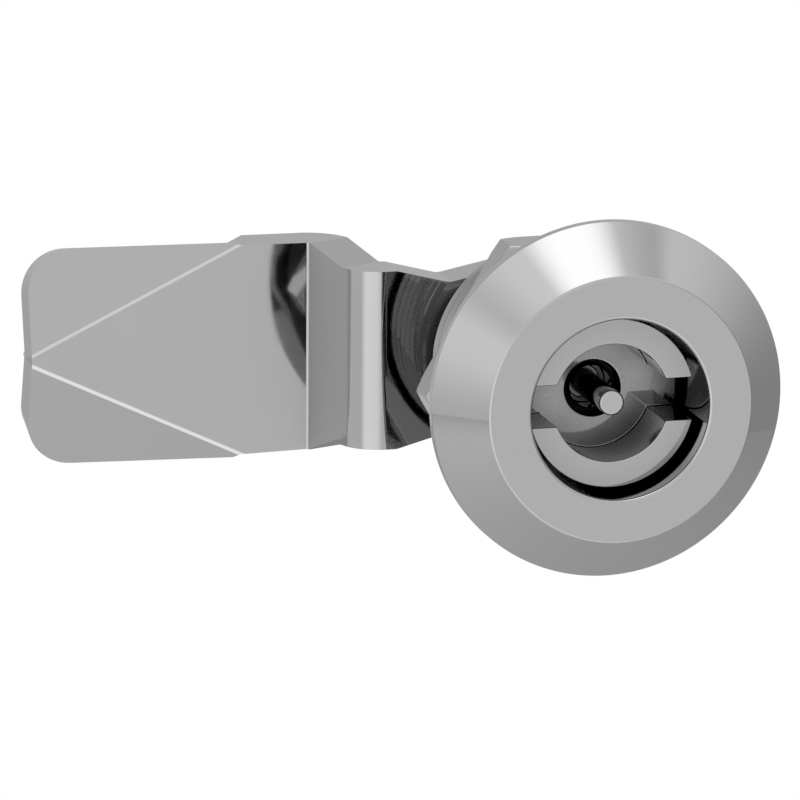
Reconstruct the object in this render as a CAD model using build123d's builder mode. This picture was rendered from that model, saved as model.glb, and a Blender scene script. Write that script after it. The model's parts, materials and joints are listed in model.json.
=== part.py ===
"""Quarter-turn cam lock with a double-bit socket, a hexagon nut and a cranked steel cam.

Millimetres. The lock's axis is Y: the head faces -Y, the barrel runs back to +Y through the door panel.
The origin is on the axis, in the plane of the head's back, which seats on the panel. The cam points to -X.
"""

from build123d import *
import os
from math import acos, atan2, cos, hypot, radians, sin, sqrt, tan

os.makedirs("parts", exist_ok=True)

# Head and barrel
head_r = 16.25
face_r = 12.2
head_height = 5.7
rim_height = 0.98
barrel_r = 11.0
barrel_across_flats = 20.0
barrel_length = 18.0
barrel_end_chamfer = 0.75
face_edge_break = 0.2

# Seal in the head's back: its radii are shares of the way from the barrel to the rim
seal_inner_share = 0.25
seal_outer_share = 0.667
seal_depth = 0.9

# Socket and driver
head_bore_r = 8.25
ring_r = 7.74
ring_recess = 2.95
socket_r = 5.39
socket_depth = 6.12
slot_width = 3.87
pin_r = 1.165
pin_shank_r = 1.5
pin_well_r = 1.93
pin_well_mouth_r = 2.65
pin_well_depth = 3.1
pin_seat_length = 4.0
pin_end_chamfer = 0.15
socket_floor_thickness = 2.85
journal_r = 6.0
journal_set_back = 1.58

# Washers and rings on the driver
slide_washer_thickness = 0.45
shaft_seal_width = 1.6
shaft_seal_height = 1.1
shaft_seal_from_shoulder = 2.9
stop_washer_thickness = 1.5
stop_washer_from_barrel = 2.6
stop_ear_from_barrel = 0.6
stop_ear_width = 4.0
quarter_turn = 90.0
retaining_ring_thickness = 0.7
retaining_ring_r = 7.2
retaining_ring_gap = 4.0
retaining_groove_depth = 0.6
bow_washer_thickness = 0.4
bow_washer_rise = 0.5

# Square tail and cam screw
tail_across_flats = 8.0
tail_corner_r = 5.2
screw_r = 2.95
screw_length = 12.0
screw_hole_run_out = 0.5
drill_point_half_angle = 59.0
screw_head_across_flats = 10.0
screw_head_height = 4.0
flat_washer_r = 7.5
flat_washer_thickness = 1.6
spring_washer_r = 5.9
spring_washer_thickness = 1.6
spring_washer_gap = 1.2
spring_washer_slant = 20.0

# Nut and toothed washer
panel_thickness = 2.0
nut_wall = 2.5
nut_thickness = 3.8
hexagon_chamfer_angle = 30.0
hexagon_corner_drop = 0.4
toothed_washer_height = 1.1
toothed_washer_sheet = 0.7
toothed_washer_ring_width = 1.25
tooth_length = 1.3
tooth_width = 1.5
tooth_count = 20
tooth_twist = 15.0

# Cam: reaches run from the lock's axis, and widths are taken on the front surface
cam_thickness = 4.15
hub_r = 8.5
waist_reach = 9.0
waist_half_width = 6.9
nose_reach = 17.14
nose_half_width = 8.2
crank_angle = 69.3
crank_offset = 7.6
neck_half_width = 9.53
crease_start_reach = 26.3
crease_start_half_width = 9.64
flap_start_reach = 27.0
tongue_reach = 45.8
tongue_half_width = 9.9
tongue_corner_r = 4.0
crease_end_half_width = 0.4
flap_angle = 14.0
nose_outer_r = 3.4
nose_inner_r = 0.5
neck_inner_r = 0.3
neck_outer_r = 4.4
crease_r = 2.4
waist_r = 1.5
nose_land = 0.4
neck_land = 0.25

# Clearances
running_clearance = 0.05
sliding_gap = 0.1
loose_clearance = 0.15
seat_clearance = 0.02
press_allowance = 0.005

# Places along the axis, in order from the front
face_y = -head_height
ring_front_y = face_y + ring_recess
socket_floor_y = ring_front_y + socket_depth
well_floor_y = socket_floor_y + pin_well_depth
pin_seat_end_y = well_floor_y + pin_seat_length
driver_head_back_y = socket_floor_y + socket_floor_thickness
shoulder_y = driver_head_back_y + slide_washer_thickness + running_clearance
shaft_seal_y = shoulder_y + shaft_seal_from_shoulder
journal_end_y = barrel_length - journal_set_back
rear_recess_floor_y = journal_end_y - bow_washer_thickness - bow_washer_rise - sliding_gap
stop_washer_back_y = journal_end_y + stop_washer_thickness
cam_front_y = stop_washer_back_y + retaining_ring_thickness
cam_back_y = cam_front_y + cam_thickness
tail_end_y = cam_back_y - 2 * loose_clearance
flat_washer_back_y = cam_back_y + flat_washer_thickness
screw_seat_y = flat_washer_back_y + spring_washer_thickness
screw_head_back_y = screw_seat_y + screw_head_height
screw_tip_y = screw_seat_y - screw_length
nut_front_y = panel_thickness + toothed_washer_height
nut_back_y = nut_front_y + nut_thickness
tongue_front_y = cam_front_y + crank_offset

# Radii and widths that follow from their mates
seal_inner_r = barrel_r + seal_inner_share * (head_r - barrel_r)
seal_outer_r = barrel_r + seal_outer_share * (head_r - barrel_r)
journal_bore_r = journal_r + running_clearance
slide_washer_r = head_bore_r - 2 * loose_clearance
stop_washer_r = barrel_r - stop_washer_from_barrel
stop_ear_r = barrel_r - stop_ear_from_barrel
rear_recess_r = stop_washer_r + 2 * loose_clearance
bow_washer_r = rear_recess_r - 2 * loose_clearance
nut_across_flats = 2 * (barrel_r + nut_wall)
nut_bore_r = barrel_r + seat_clearance
washer_bore_r = barrel_r + loose_clearance
toothed_washer_ring_r = washer_bore_r + toothed_washer_ring_width
tooth_tip_r = toothed_washer_ring_r + tooth_length
screw_hole_r = screw_r + running_clearance
square_hole = tail_across_flats + 2 * running_clearance
shaft_seal_outer_r = journal_bore_r - seat_clearance
shaft_seal_inner_r = shaft_seal_outer_r - shaft_seal_height
shaft_groove_r = shaft_seal_inner_r - seat_clearance
shaft_groove_width = shaft_seal_width + 2 * loose_clearance
retaining_groove_r = tail_corner_r - retaining_groove_depth
neck_reach = nose_reach + crank_offset / tan(radians(crank_angle))
panel_length = crank_offset / sin(radians(crank_angle))
fold_setback = cam_thickness * tan(radians(crank_angle / 2))


def across(y):
    """Plane across the lock's axis at this depth, as seen from the front: X to the right and Z up."""
    return Plane.XZ.offset(-y)


def turned_hexagon(across_flats, front_y, back_y):
    """Hexagon bar from front_y to back_y, its corners at left and right, turned to a cone at both ends."""
    corner_r = across_flats / sqrt(3)
    land_r = corner_r - hexagon_corner_drop / tan(radians(hexagon_chamfer_angle))
    with BuildPart() as bar:
        with BuildSketch(across(back_y)):
            RegularPolygon(radius=across_flats / 2, side_count=6, major_radius=False)
        extrude(amount=back_y - front_y)
        with BuildSketch(Plane.XY):
            with BuildLine():
                Polyline(
                    (0, front_y),
                    (land_r, front_y),
                    (corner_r, front_y + hexagon_corner_drop),
                    (corner_r, back_y - hexagon_corner_drop),
                    (land_r, back_y),
                    (0, back_y),
                    close=True,
                )
            make_face()
        revolve(axis=Axis.Y, mode=Mode.INTERSECT)
    return bar.part


def flat_ring(inner_r, outer_r, front_y, back_y):
    """Plain washer between two depths."""
    with BuildPart() as ring:
        with BuildSketch(across(back_y)):
            Circle(outer_r)
            Circle(inner_r, mode=Mode.SUBTRACT)
        extrude(amount=back_y - front_y)
    return ring.part


def write(part, name):
    """Labels a finished piece and writes it under its own name."""
    part.label = name
    export_step(part, f"parts/{name}.step")


# Housing: round bevelled head, barrel with two flats, stepped bore and the stop's sector at the back
stop_angle = quarter_turn / 2
notch_width = stop_ear_width + 2 * sliding_gap
with BuildPart() as housing:
    with BuildSketch(Plane.XY):
        with BuildLine():
            Polyline(
                (head_bore_r, face_y),
                (face_r, face_y),
                (head_r, -rim_height),
                (head_r, 0),
                (barrel_r, 0),
                (barrel_r, barrel_length - barrel_end_chamfer),
                (barrel_r - barrel_end_chamfer, barrel_length),
                (rear_recess_r, barrel_length),
                (rear_recess_r, rear_recess_floor_y),
                (journal_bore_r, rear_recess_floor_y),
                (journal_bore_r, shoulder_y),
                (head_bore_r, shoulder_y),
                close=True,
            )
        make_face()
    revolve(axis=Axis.Y)
    face_edges = housing.edges().filter_by_position(Axis.Y, face_y, face_y, (True, True))
    chamfer(face_edges.filter_by(GeomType.CIRCLE), length=face_edge_break)
    with BuildSketch(across(barrel_length)):
        Rectangle(2 * head_r, 2 * head_r)
        Rectangle(2 * head_r, barrel_across_flats, mode=Mode.SUBTRACT)
    extrude(amount=barrel_length, mode=Mode.SUBTRACT)
    with BuildSketch(across(0)):
        Circle(seal_outer_r)
        Circle(seal_inner_r, mode=Mode.SUBTRACT)
    extrude(amount=seal_depth, mode=Mode.SUBTRACT)
    with BuildSketch(across(barrel_length)):
        with BuildLine():
            notch_side = head_r * tan(radians(stop_angle))
            Polyline((0, 0), (head_r, -notch_side), (head_r, notch_side), close=True)
        make_face()
        for side in (-stop_angle, stop_angle):
            Rectangle(head_r, notch_width, rotation=side, align=(Align.MIN, Align.CENTER))
    extrude(amount=barrel_length - journal_end_y + loose_clearance, mode=Mode.SUBTRACT)
write(housing.part, "housing")

# Flange seal: rubber ring in the groove of the head's back
with BuildPart() as flange_seal:
    add(flat_ring(seal_inner_r + seat_clearance, seal_outer_r - seat_clearance, -seal_depth, 0))
write(flange_seal.part, "flange_seal")

# Toothed washer: a ring with twisted teeth that bite into the nut and the panel
with BuildPart() as toothed_washer:
    tooth_mid_y = panel_thickness + toothed_washer_height / 2
    half_sheet = toothed_washer_sheet / 2
    add(flat_ring(washer_bore_r, toothed_washer_ring_r, tooth_mid_y - half_sheet, tooth_mid_y + half_sheet))
    tooth_root_r = washer_bore_r + half_sheet
    with Locations(across(tooth_mid_y)):
        with PolarLocations(tooth_root_r, tooth_count):
            tooth_size = (tooth_tip_r - tooth_root_r, tooth_width, toothed_washer_sheet)
            Box(*tooth_size, rotation=(tooth_twist, 0, 0), align=(Align.MIN, Align.CENTER, Align.CENTER))
    add(flat_ring(barrel_r / 2, washer_bore_r, 0, nut_front_y), mode=Mode.SUBTRACT)
write(toothed_washer.part, "toothed_washer")

# Lock nut
with BuildPart() as lock_nut:
    add(turned_hexagon(nut_across_flats, nut_front_y, nut_back_y))
    with Locations(across(nut_back_y)):
        Hole(radius=nut_bore_r)
    bore_edges = lock_nut.edges().filter_by(GeomType.CIRCLE)
    mouth_edges = bore_edges.filter_by(lambda edge: abs(edge.radius - nut_bore_r) < seat_clearance)
    chamfer(mouth_edges, length=barrel_end_chamfer)
write(lock_nut.part, "lock_nut")

# Driver: slotted ring and socket in front, journal with the seal's groove, square tail for the cam
screw_hole_end_y = screw_tip_y - screw_hole_run_out
drill_point_y = screw_hole_end_y - screw_hole_r / tan(radians(drill_point_half_angle))
with BuildPart() as driver:
    with BuildSketch(Plane.XY):
        with BuildLine():
            Polyline(
                (socket_r, ring_front_y),
                (ring_r, ring_front_y),
                (ring_r, driver_head_back_y),
                (journal_r, driver_head_back_y),
                (journal_r, journal_end_y),
                (tail_corner_r, journal_end_y),
                (tail_corner_r, tail_end_y),
                (screw_hole_r, tail_end_y),
                (screw_hole_r, screw_hole_end_y),
                (0, drill_point_y),
                (0, pin_seat_end_y),
                (pin_shank_r + press_allowance, pin_seat_end_y),
                (pin_shank_r + press_allowance, well_floor_y),
                (pin_well_r, well_floor_y),
                (pin_well_r, socket_floor_y + pin_well_mouth_r - pin_well_r),
                (pin_well_mouth_r, socket_floor_y),
                (socket_r, socket_floor_y),
                close=True,
            )
        make_face()
    revolve(axis=Axis.Y)
    with BuildSketch(across(socket_floor_y)):
        Rectangle(2 * head_bore_r, slot_width)
    extrude(amount=socket_depth, mode=Mode.SUBTRACT)
    groove_front_y = shaft_seal_y - shaft_groove_width / 2
    groove_back_y = shaft_seal_y + shaft_groove_width / 2
    add(flat_ring(shaft_groove_r, head_bore_r, groove_front_y, groove_back_y), mode=Mode.SUBTRACT)
    with BuildSketch(across(tail_end_y)):
        Circle(journal_r)
        Rectangle(tail_across_flats, tail_across_flats, mode=Mode.SUBTRACT)
    extrude(amount=tail_end_y - journal_end_y, mode=Mode.SUBTRACT)
    add(flat_ring(retaining_groove_r, journal_r, stop_washer_back_y, cam_front_y), mode=Mode.SUBTRACT)
write(driver.part, "driver")

# Key pin: its thicker shank is pressed into the driver, and its end is level with the ring
with BuildPart() as key_pin:
    with BuildSketch(across(well_floor_y)):
        Circle(pin_r)
    extrude(amount=well_floor_y - ring_front_y)
    chamfer(key_pin.edges().group_by(Axis.Y)[0], length=pin_end_chamfer)
    with BuildSketch(across(pin_seat_end_y - seat_clearance)):
        Circle(pin_shank_r)
    extrude(amount=pin_seat_length - seat_clearance)
write(key_pin.part, "key_pin")

# Shaft seal: rubber ring of rectangular section in the journal's groove
with BuildPart() as shaft_seal:
    seal_front_y = shaft_seal_y - shaft_seal_width / 2
    add(flat_ring(shaft_seal_inner_r, shaft_seal_outer_r, seal_front_y, seal_front_y + shaft_seal_width))
write(shaft_seal.part, "shaft_seal")

# Slide washer between the driver's head and the housing's shoulder
with BuildPart() as slide_washer:
    slide_washer_back_y = driver_head_back_y + slide_washer_thickness
    add(flat_ring(journal_r + running_clearance, slide_washer_r, driver_head_back_y, slide_washer_back_y))
write(slide_washer.part, "slide_washer")

# Bow washer: a washer bent to an arc, which takes up the driver's end play
with BuildPart() as bow_washer:
    low_y = rear_recess_floor_y + seat_clearance
    high_y = low_y + bow_washer_rise
    with BuildSketch(Plane.XY):
        with BuildLine():
            ThreePointArc((-bow_washer_r, low_y), (0, high_y), (bow_washer_r, low_y))
            Line((bow_washer_r, low_y), (bow_washer_r, low_y + bow_washer_thickness))
            ThreePointArc(
                (bow_washer_r, low_y + bow_washer_thickness),
                (0, high_y + bow_washer_thickness),
                (-bow_washer_r, low_y + bow_washer_thickness),
            )
            Line((-bow_washer_r, low_y + bow_washer_thickness), (-bow_washer_r, low_y))
        make_face()
    extrude(amount=bow_washer_r, both=True)
    bow_bore_r = journal_bore_r + loose_clearance
    add(flat_ring(bow_bore_r, bow_washer_r, rear_recess_floor_y, journal_end_y), mode=Mode.INTERSECT)
write(bow_washer.part, "bow_washer")

# Stop washer: square hole on the tail, one ear that runs in the housing's sector
with BuildPart() as stop_washer:
    with BuildSketch(across(stop_washer_back_y)):
        Circle(stop_washer_r)
        Rectangle(stop_ear_r, stop_ear_width, rotation=-stop_angle, align=(Align.MIN, Align.CENTER))
        Rectangle(square_hole, square_hole, mode=Mode.SUBTRACT)
    extrude(amount=stop_washer_thickness)
write(stop_washer.part, "stop_washer")

# Retaining ring: open ring in the groove of the tail's corners
with BuildPart() as retaining_ring:
    with BuildSketch(across(cam_front_y)):
        Circle(retaining_ring_r)
        Circle(retaining_groove_r + seat_clearance, mode=Mode.SUBTRACT)
        Rectangle(head_r, retaining_ring_gap, align=(Align.MIN, Align.CENTER), mode=Mode.SUBTRACT)
    extrude(amount=retaining_ring_thickness)
write(retaining_ring.part, "retaining_ring")


def sheet_plane(x, y, lean):
    """Front surface of the cam's sheet beyond a fold at (x, y), leaning back by this angle."""
    turn = radians(lean)
    return Plane(origin=(x, y, 0), x_dir=(cos(turn), -sin(turn), 0), z_dir=(-sin(turn), -cos(turn), 0))


def fold_plane(x, y):
    """Mitre plane of a fold along Z at (x, y), facing the hub, where the sheet turns by the crank's angle."""
    half_turn = radians(crank_angle / 2)
    return Plane(origin=(x, y, 0), x_dir=(0, 0, 1), z_dir=(cos(half_turn), -sin(half_turn), 0))


def outline(*half):
    """Closed outline through these points and their mirror images below."""
    with BuildLine() as edge:
        Polyline(*half, *[(x, -z) for x, z in reversed(half)], close=True)
    return edge.edges()


# Cam, first as flat blanks: each lies in its own part of the folded sheet and is cut at the fold's mitre
nose_fold = fold_plane(-nose_reach, cam_front_y)
neck_fold = fold_plane(-neck_reach, tongue_front_y)

waist_direction = atan2(waist_half_width, -waist_reach)
touch_angle = waist_direction - acos(hub_r / hypot(waist_reach, waist_half_width))
with BuildPart() as cam_plate:
    with BuildSketch(sheet_plane(0, cam_front_y, 0)) as plate_sketch:
        plate_edge = outline(
            (hub_r * cos(touch_angle), hub_r * sin(touch_angle)),
            (-waist_reach, waist_half_width),
            (fold_setback + nose_land - nose_reach, nose_half_width),
            (-nose_reach, nose_half_width),
        )
        make_face(plate_edge)
        waist = plate_sketch.vertices().filter_by_position(Axis.X, -waist_reach, -waist_reach, (True, True))
        fillet(waist, radius=waist_r)
        Circle(hub_r)
        Rectangle(square_hole, square_hole, mode=Mode.SUBTRACT)
    extrude(amount=-cam_thickness)
    split(bisect_by=nose_fold, keep=Keep.TOP)

with BuildPart() as cam_riser:
    with BuildSketch(sheet_plane(-nose_reach, cam_front_y, crank_angle)):
        riser_edge = outline(
            (0, nose_half_width),
            (-fold_setback - nose_land, nose_half_width),
            (neck_land - panel_length, neck_half_width),
            (-panel_length - fold_setback, neck_half_width),
        )
        make_face(riser_edge)
    extrude(amount=-cam_thickness)
    split(bisect_by=nose_fold, keep=Keep.BOTTOM)
    split(bisect_by=neck_fold, keep=Keep.TOP)

# The tongue's corners are folded back along two creases that close in on the middle of its tip
crease_start = Vector(-crease_start_reach, tongue_front_y, crease_start_half_width)
crease_end = Vector(-tongue_reach, tongue_front_y, crease_end_half_width)
crease_direction = (crease_end - crease_start).normalized()
crease = Axis(crease_start, crease_direction)
flat_outward = crease_direction.cross(Vector(0, -1, 0))
outward = flat_outward.rotate(Axis((0, 0, 0), crease_direction), flap_angle / 2)
crease_fold = Plane(origin=crease_start, x_dir=crease_direction, z_dir=outward)


def unfolded(reach, half_width):
    """Point of the flat flap that, once folded, is seen from the front at this reach and half width."""
    seen = Vector(-reach, tongue_front_y, half_width)
    from_crease = (seen - crease_start).dot(flat_outward)
    flat = seen + flat_outward * from_crease * (1 / cos(radians(flap_angle)) - 1)
    return flat.X, flat.Z


with BuildPart() as tongue_middle:
    with BuildSketch(sheet_plane(0, tongue_front_y, 0)):
        middle_edge = outline(
            (fold_setback - neck_reach, neck_half_width),
            (-neck_reach - neck_land, neck_half_width),
            (-crease_start_reach, crease_start_half_width),
            (-tongue_reach, crease_end_half_width),
        )
        make_face(middle_edge)
    extrude(amount=-cam_thickness)
    split(bisect_by=neck_fold, keep=Keep.BOTTOM)
    split(bisect_by=crease_fold, keep=Keep.BOTTOM)
    split(bisect_by=Plane.XY, keep=Keep.TOP)

flap_corner = unfolded(tongue_reach, tongue_half_width)
with BuildPart() as flap_blank:
    with BuildSketch(sheet_plane(0, tongue_front_y, 0)) as flap_sketch:
        with BuildLine():
            Polyline(
                (-crease_start_reach, crease_start_half_width),
                unfolded(flap_start_reach, tongue_half_width),
                flap_corner,
                (-tongue_reach, crease_end_half_width),
                close=True,
            )
        make_face()
        fillet(flap_sketch.vertices().sort_by_distance(Vertex(*flap_corner, 0))[0], tongue_corner_r)
    extrude(amount=-cam_thickness)

with BuildPart() as upper_flap:
    add(flap_blank.part.rotate(crease, flap_angle))
    split(bisect_by=crease_fold, keep=Keep.TOP)
    split(bisect_by=Plane.XY, keep=Keep.TOP)

with BuildPart() as cam:
    add(cam_plate.part)
    add(cam_riser.part)
    add(tongue_middle.part)
    add(upper_flap.part)
    mirror(tongue_middle.part, about=Plane.XY)
    mirror(upper_flap.part, about=Plane.XY)
    fold_places = (
        ((-nose_reach, cam_front_y, 0), nose_outer_r),
        ((-neck_reach, tongue_front_y, 0), neck_inner_r),
        ((fold_setback - nose_reach, cam_back_y, 0), nose_inner_r),
        ((fold_setback - neck_reach, tongue_front_y + cam_thickness, 0), neck_outer_r),
    )
    for place, radius in fold_places:
        fillet(cam.edges().sort_by_distance(Vertex(*place))[0], radius=radius)
    crease_middle = (crease_start + crease_end) / 2
    creases = [
        cam.edges().sort_by_distance(Vertex(crease_middle.X, crease_middle.Y, side * crease_middle.Z))[0]
        for side in (1, -1)
    ]
    fillet(creases, radius=crease_r)
write(cam.part, "cam")

# Flat washer, split spring washer and hexagon screw that clamp the cam on the tail
with BuildPart() as screw_flat_washer:
    add(flat_ring(screw_r + 2 * loose_clearance, flat_washer_r, cam_back_y, flat_washer_back_y))
write(screw_flat_washer.part, "screw_flat_washer")

with BuildPart() as screw_spring_washer:
    add(flat_ring(screw_r + loose_clearance, spring_washer_r, flat_washer_back_y, screw_seat_y))
    with Locations((spring_washer_r, flat_washer_back_y + spring_washer_thickness / 2, 0)):
        slit_size = (2 * spring_washer_r, 2 * spring_washer_thickness, spring_washer_gap)
        Box(*slit_size, rotation=(spring_washer_slant, 0, 0), mode=Mode.SUBTRACT)
write(screw_spring_washer.part, "screw_spring_washer")

with BuildPart() as cam_screw:
    add(turned_hexagon(screw_head_across_flats, screw_seat_y, screw_head_back_y))
    with BuildSketch(across(screw_seat_y)):
        Circle(screw_r)
    extrude(amount=screw_length)
    chamfer(cam_screw.edges().group_by(Axis.Y)[0], length=screw_hole_run_out)
write(cam_screw.part, "cam_screw")
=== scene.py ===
"""Looks of a quarter-turn cam lock: bevelled head, slotted ring with its pin, nut and folded cam.

Metres, in the frame of the construction model: the lock's axis is Y, the head faces -Y
and the cam points to -X.
"""

import json
import math

import bmesh
import bpy
from bpy.props import FloatProperty, FloatVectorProperty, IntProperty, PointerProperty
from mathutils import Matrix, Vector

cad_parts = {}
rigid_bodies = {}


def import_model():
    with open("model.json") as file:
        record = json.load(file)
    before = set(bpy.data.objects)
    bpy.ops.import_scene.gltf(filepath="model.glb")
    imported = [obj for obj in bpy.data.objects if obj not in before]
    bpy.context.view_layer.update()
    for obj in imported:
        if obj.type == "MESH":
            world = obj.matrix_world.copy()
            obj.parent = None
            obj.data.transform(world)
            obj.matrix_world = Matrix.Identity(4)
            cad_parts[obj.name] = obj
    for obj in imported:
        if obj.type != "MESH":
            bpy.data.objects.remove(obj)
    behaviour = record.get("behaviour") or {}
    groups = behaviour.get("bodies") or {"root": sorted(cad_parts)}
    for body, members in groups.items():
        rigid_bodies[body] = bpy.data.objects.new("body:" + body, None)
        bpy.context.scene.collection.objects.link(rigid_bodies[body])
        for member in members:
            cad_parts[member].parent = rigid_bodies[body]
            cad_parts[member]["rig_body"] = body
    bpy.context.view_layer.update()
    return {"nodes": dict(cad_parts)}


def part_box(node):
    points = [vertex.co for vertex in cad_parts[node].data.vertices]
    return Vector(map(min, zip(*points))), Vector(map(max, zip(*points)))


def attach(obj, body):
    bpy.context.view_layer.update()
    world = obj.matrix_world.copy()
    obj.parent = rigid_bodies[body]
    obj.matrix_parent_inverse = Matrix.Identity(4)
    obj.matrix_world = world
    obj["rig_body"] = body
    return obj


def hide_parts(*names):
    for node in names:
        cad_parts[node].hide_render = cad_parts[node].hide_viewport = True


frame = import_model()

bl_info = {
    "name": "Quarter-turn cam lock",
    "version": (1, 0, 0),
    "blender": (4, 5, 0),
    "location": "3D View > Sidebar > Cam lock",
    "description": "Dresses the cam lock's pieces and sets up the studio round it",
    "category": "Add Mesh",
}

MM = 0.001
HOUSING_LOW, HOUSING_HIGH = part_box("housing")
WASHER_LOW, WASHER_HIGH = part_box("toothed_washer")
MERGE_DISTANCE = 1e-7
SEAM_DISTANCE = 1e-6

# Thread: rows of faces to a turn, and the shares of half the pitch that the crest and the flank take
THREAD_ROWS = 8
THREAD_CREST = 0.125
THREAD_FLANK = 0.75

# Edges: the angle from which they are rounded, the nut's and screw's own one, and the housing's sharp ones
ROUNDING_ANGLE = 30.0
HEXAGON_ANGLE = 25.0
HOUSING_SHARP_ANGLE = 28.0

# Painted shade in shut-in places: reach of the look round, then openness from, openness to and the share at
# each.
# The two shares are added
CAVITY_REACH = 20 * MM
DEEP_SHADE = (0.2, 0.33, 0.13, 0.82)
SHALLOW_SHADE = (0.5, 0.98, 0.0, 0.18)
# Painted shade on the barrel: depth behind the head's back where it starts and where it is full
PAINTED_BARREL_SHADE_START = 0.05 * MM
PAINTED_BARREL_SHADE_FULL = 0.4 * MM
SCREW_ROUGHNESS_GAIN = 1.6

# Glow of the studio's walls, where 1 is white: the levels at the low and high end of each height range,
# and the range of the direction's x, y or z in which each wall fades in
BACK_LEVELS = (0.46, 0.57)
BACK_HEIGHTS = (-0.30, 0.15)
FRONT_LEVEL = 0.76
FRONT_FADE = (0.2, -0.3)
LEFT_LEVELS = (0.68, 0.95)
LEFT_HEIGHTS = (-0.25, 0.30)
LEFT_FADE = (-0.30, -0.75)
LEFT_TOP_FADE = (0.66, 0.42)
RIGHT_LEVELS = (0.34, 0.87)
RIGHT_HEIGHTS = (-0.25, 0.80)
RIGHT_FADE = (0.25, 0.60)
RIGHT_TOP_FADE = (0.845, 0.73)

# Patches on the walls: direction from the lock, inner and outer half angle in degrees, and level.
# The ceiling's patches are added to what is there, the others take its place
CEILING_PATCHES = (
    ((-0.02, -0.14, 0.99), 1, 22, 0.8),
    ((-0.15, -0.14, 0.98), 8, 43, 0.27),
)
FRONT_PATCHES = (
    ((-0.52, -0.82, -0.20), 14, 34, 1.12),
    ((0.16, -0.87, -0.46), 5, 14, 1.35),
    ((0.13, -0.99, 0.07), 3, 9, 1.1),
    ((0.27, -0.94, -0.22), 4, 7, 0.75),
)

# Lamp's place, its height counted from the floor, and the camera's aim, counted from the face's centre
LAMP_X = -0.5
LAMP_Y = -0.55
LAMP_HEIGHT = 0.8
AIM_LEFT_MM = 19.757
AIM_UP_MM = 0.8265
LOCK_MIDDLE = (-0.018, 0.009, 0)


# Sizes and colours that a user may change


def length(name, description, millimetres, smallest=0.0):
    """Size property, in metres."""
    return FloatProperty(
        name=name,
        description=description,
        default=millimetres * MM,
        min=smallest * MM,
        subtype="DISTANCE",
        unit="LENGTH",
        precision=5,
    )


def colour(name, description, value):
    """Colour property, as linear red, green and blue."""
    return FloatVectorProperty(
        name=name, description=description, default=value, size=3, min=0.0, max=1.0, subtype="COLOR"
    )


def share(name, description, value, largest=1.0):
    """Plain number from 0 up to its largest value."""
    return FloatProperty(name=name, description=description, default=value, min=0.0, max=largest)


def bearing(name, description, degrees):
    """Angle property, in radians."""
    return FloatProperty(name=name, description=description, default=math.radians(degrees), subtype="ANGLE")


class HousingSizes(bpy.types.PropertyGroup):
    """Head, bores and threaded barrel"""

    face_r: length("Face radius", "Outer radius of the flat front face", 12.2)
    rim_height: length("Rim height", "Height of the thin cylindrical rim", 0.98)
    bore_r: length("Head bore radius", "Radius of the bore that the slotted ring sits in", 8.25)
    shoulder_y: length("Shoulder", "Depth of the bore's shoulder", 6.72)
    journal_bore_r: length("Journal bore radius", "Radius of the driver's bearing", 6.05)
    recess_floor_y: length("Recess floor", "Depth of the rear recess's floor", 15.42)
    recess_r: length("Recess radius", "Radius of the rear recess", 8.7)
    seal_inner_r: length("Seal groove inner radius", "Inner radius of the groove in the head's back", 12.3)
    seal_outer_r: length("Seal groove outer radius", "Outer radius of the groove in the head's back", 14.5)
    seal_depth: length("Seal groove depth", "Depth of the groove in the head's back", 0.9)
    barrel_r: length("Barrel radius", "Outer radius of the barrel's thread", 11.0)
    barrel_flat: length("Half width across flats", "Distance of the barrel's flats from the axis", 10.0)
    stop_floor_y: length("Stop floor", "Depth of the floor of the stop's sector", 16.27)
    stop_half_width: length("Stop half width", "Half width of the sector beyond its two end directions", 2.1)
    face_round: length("Face edge round", "Radius of the two edges of the front face", 0.28)
    rim_round: length("Rim edge round", "Radius of the rim's edges", 0.16)
    thread_pitch: length("Thread pitch", "Distance from one thread to the next", 1.5, 0.2)
    thread_depth: length("Thread depth", "Depth of the barrel's thread", 0.95)
    thread_end: length("Thread end chamfer", "Height of the chamfer at the barrel's end", 1.0)
    thread_neck: length("Plain neck", "Length of the plain barrel behind the head", 0.7)
    segments: IntProperty(name="Segments", description="Sides of the turned shapes", default=192, min=24)


class EdgeSizes(bpy.types.PropertyGroup):
    """Rounded edges of the other pieces"""

    cam: length("Cam edges", "Radius of the cam's edges", 0.15)
    driver: length("Ring edges", "Radius of the slotted ring's edges", 0.2)
    nut: length("Nut edges", "Radius of the nut's edges", 0.16)
    screw: length("Screw edges", "Radius of the screw head's edges", 0.12)
    washer: length("Washer edges", "Radius of the washers' edges", 0.08)
    pin: length("Pin edges", "Radius of the pin's edges", 0.05)
    rubber: length("Seal edges", "Radius of the rubber rings' edges", 0.15)


class ToothedWasherSizes(bpy.types.PropertyGroup):
    """Ring and twisted teeth"""

    bore_r: length("Bore radius", "Inner radius of the ring", 11.15)
    ring_r: length("Ring radius", "Outer radius of the ring", 12.4)
    sheet: length("Sheet", "Thickness of the sheet", 0.7)
    tooth_width: length("Tooth width", "Width of one tooth", 1.5)
    tooth_twist: bearing("Tooth twist", "Turn of each tooth out of the ring", 15.0)
    tooth_count: IntProperty(name="Teeth", description="Number of teeth", default=20, min=3)
    segments: IntProperty(name="Segments", description="Sides of the ring", default=160, min=24)


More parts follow.
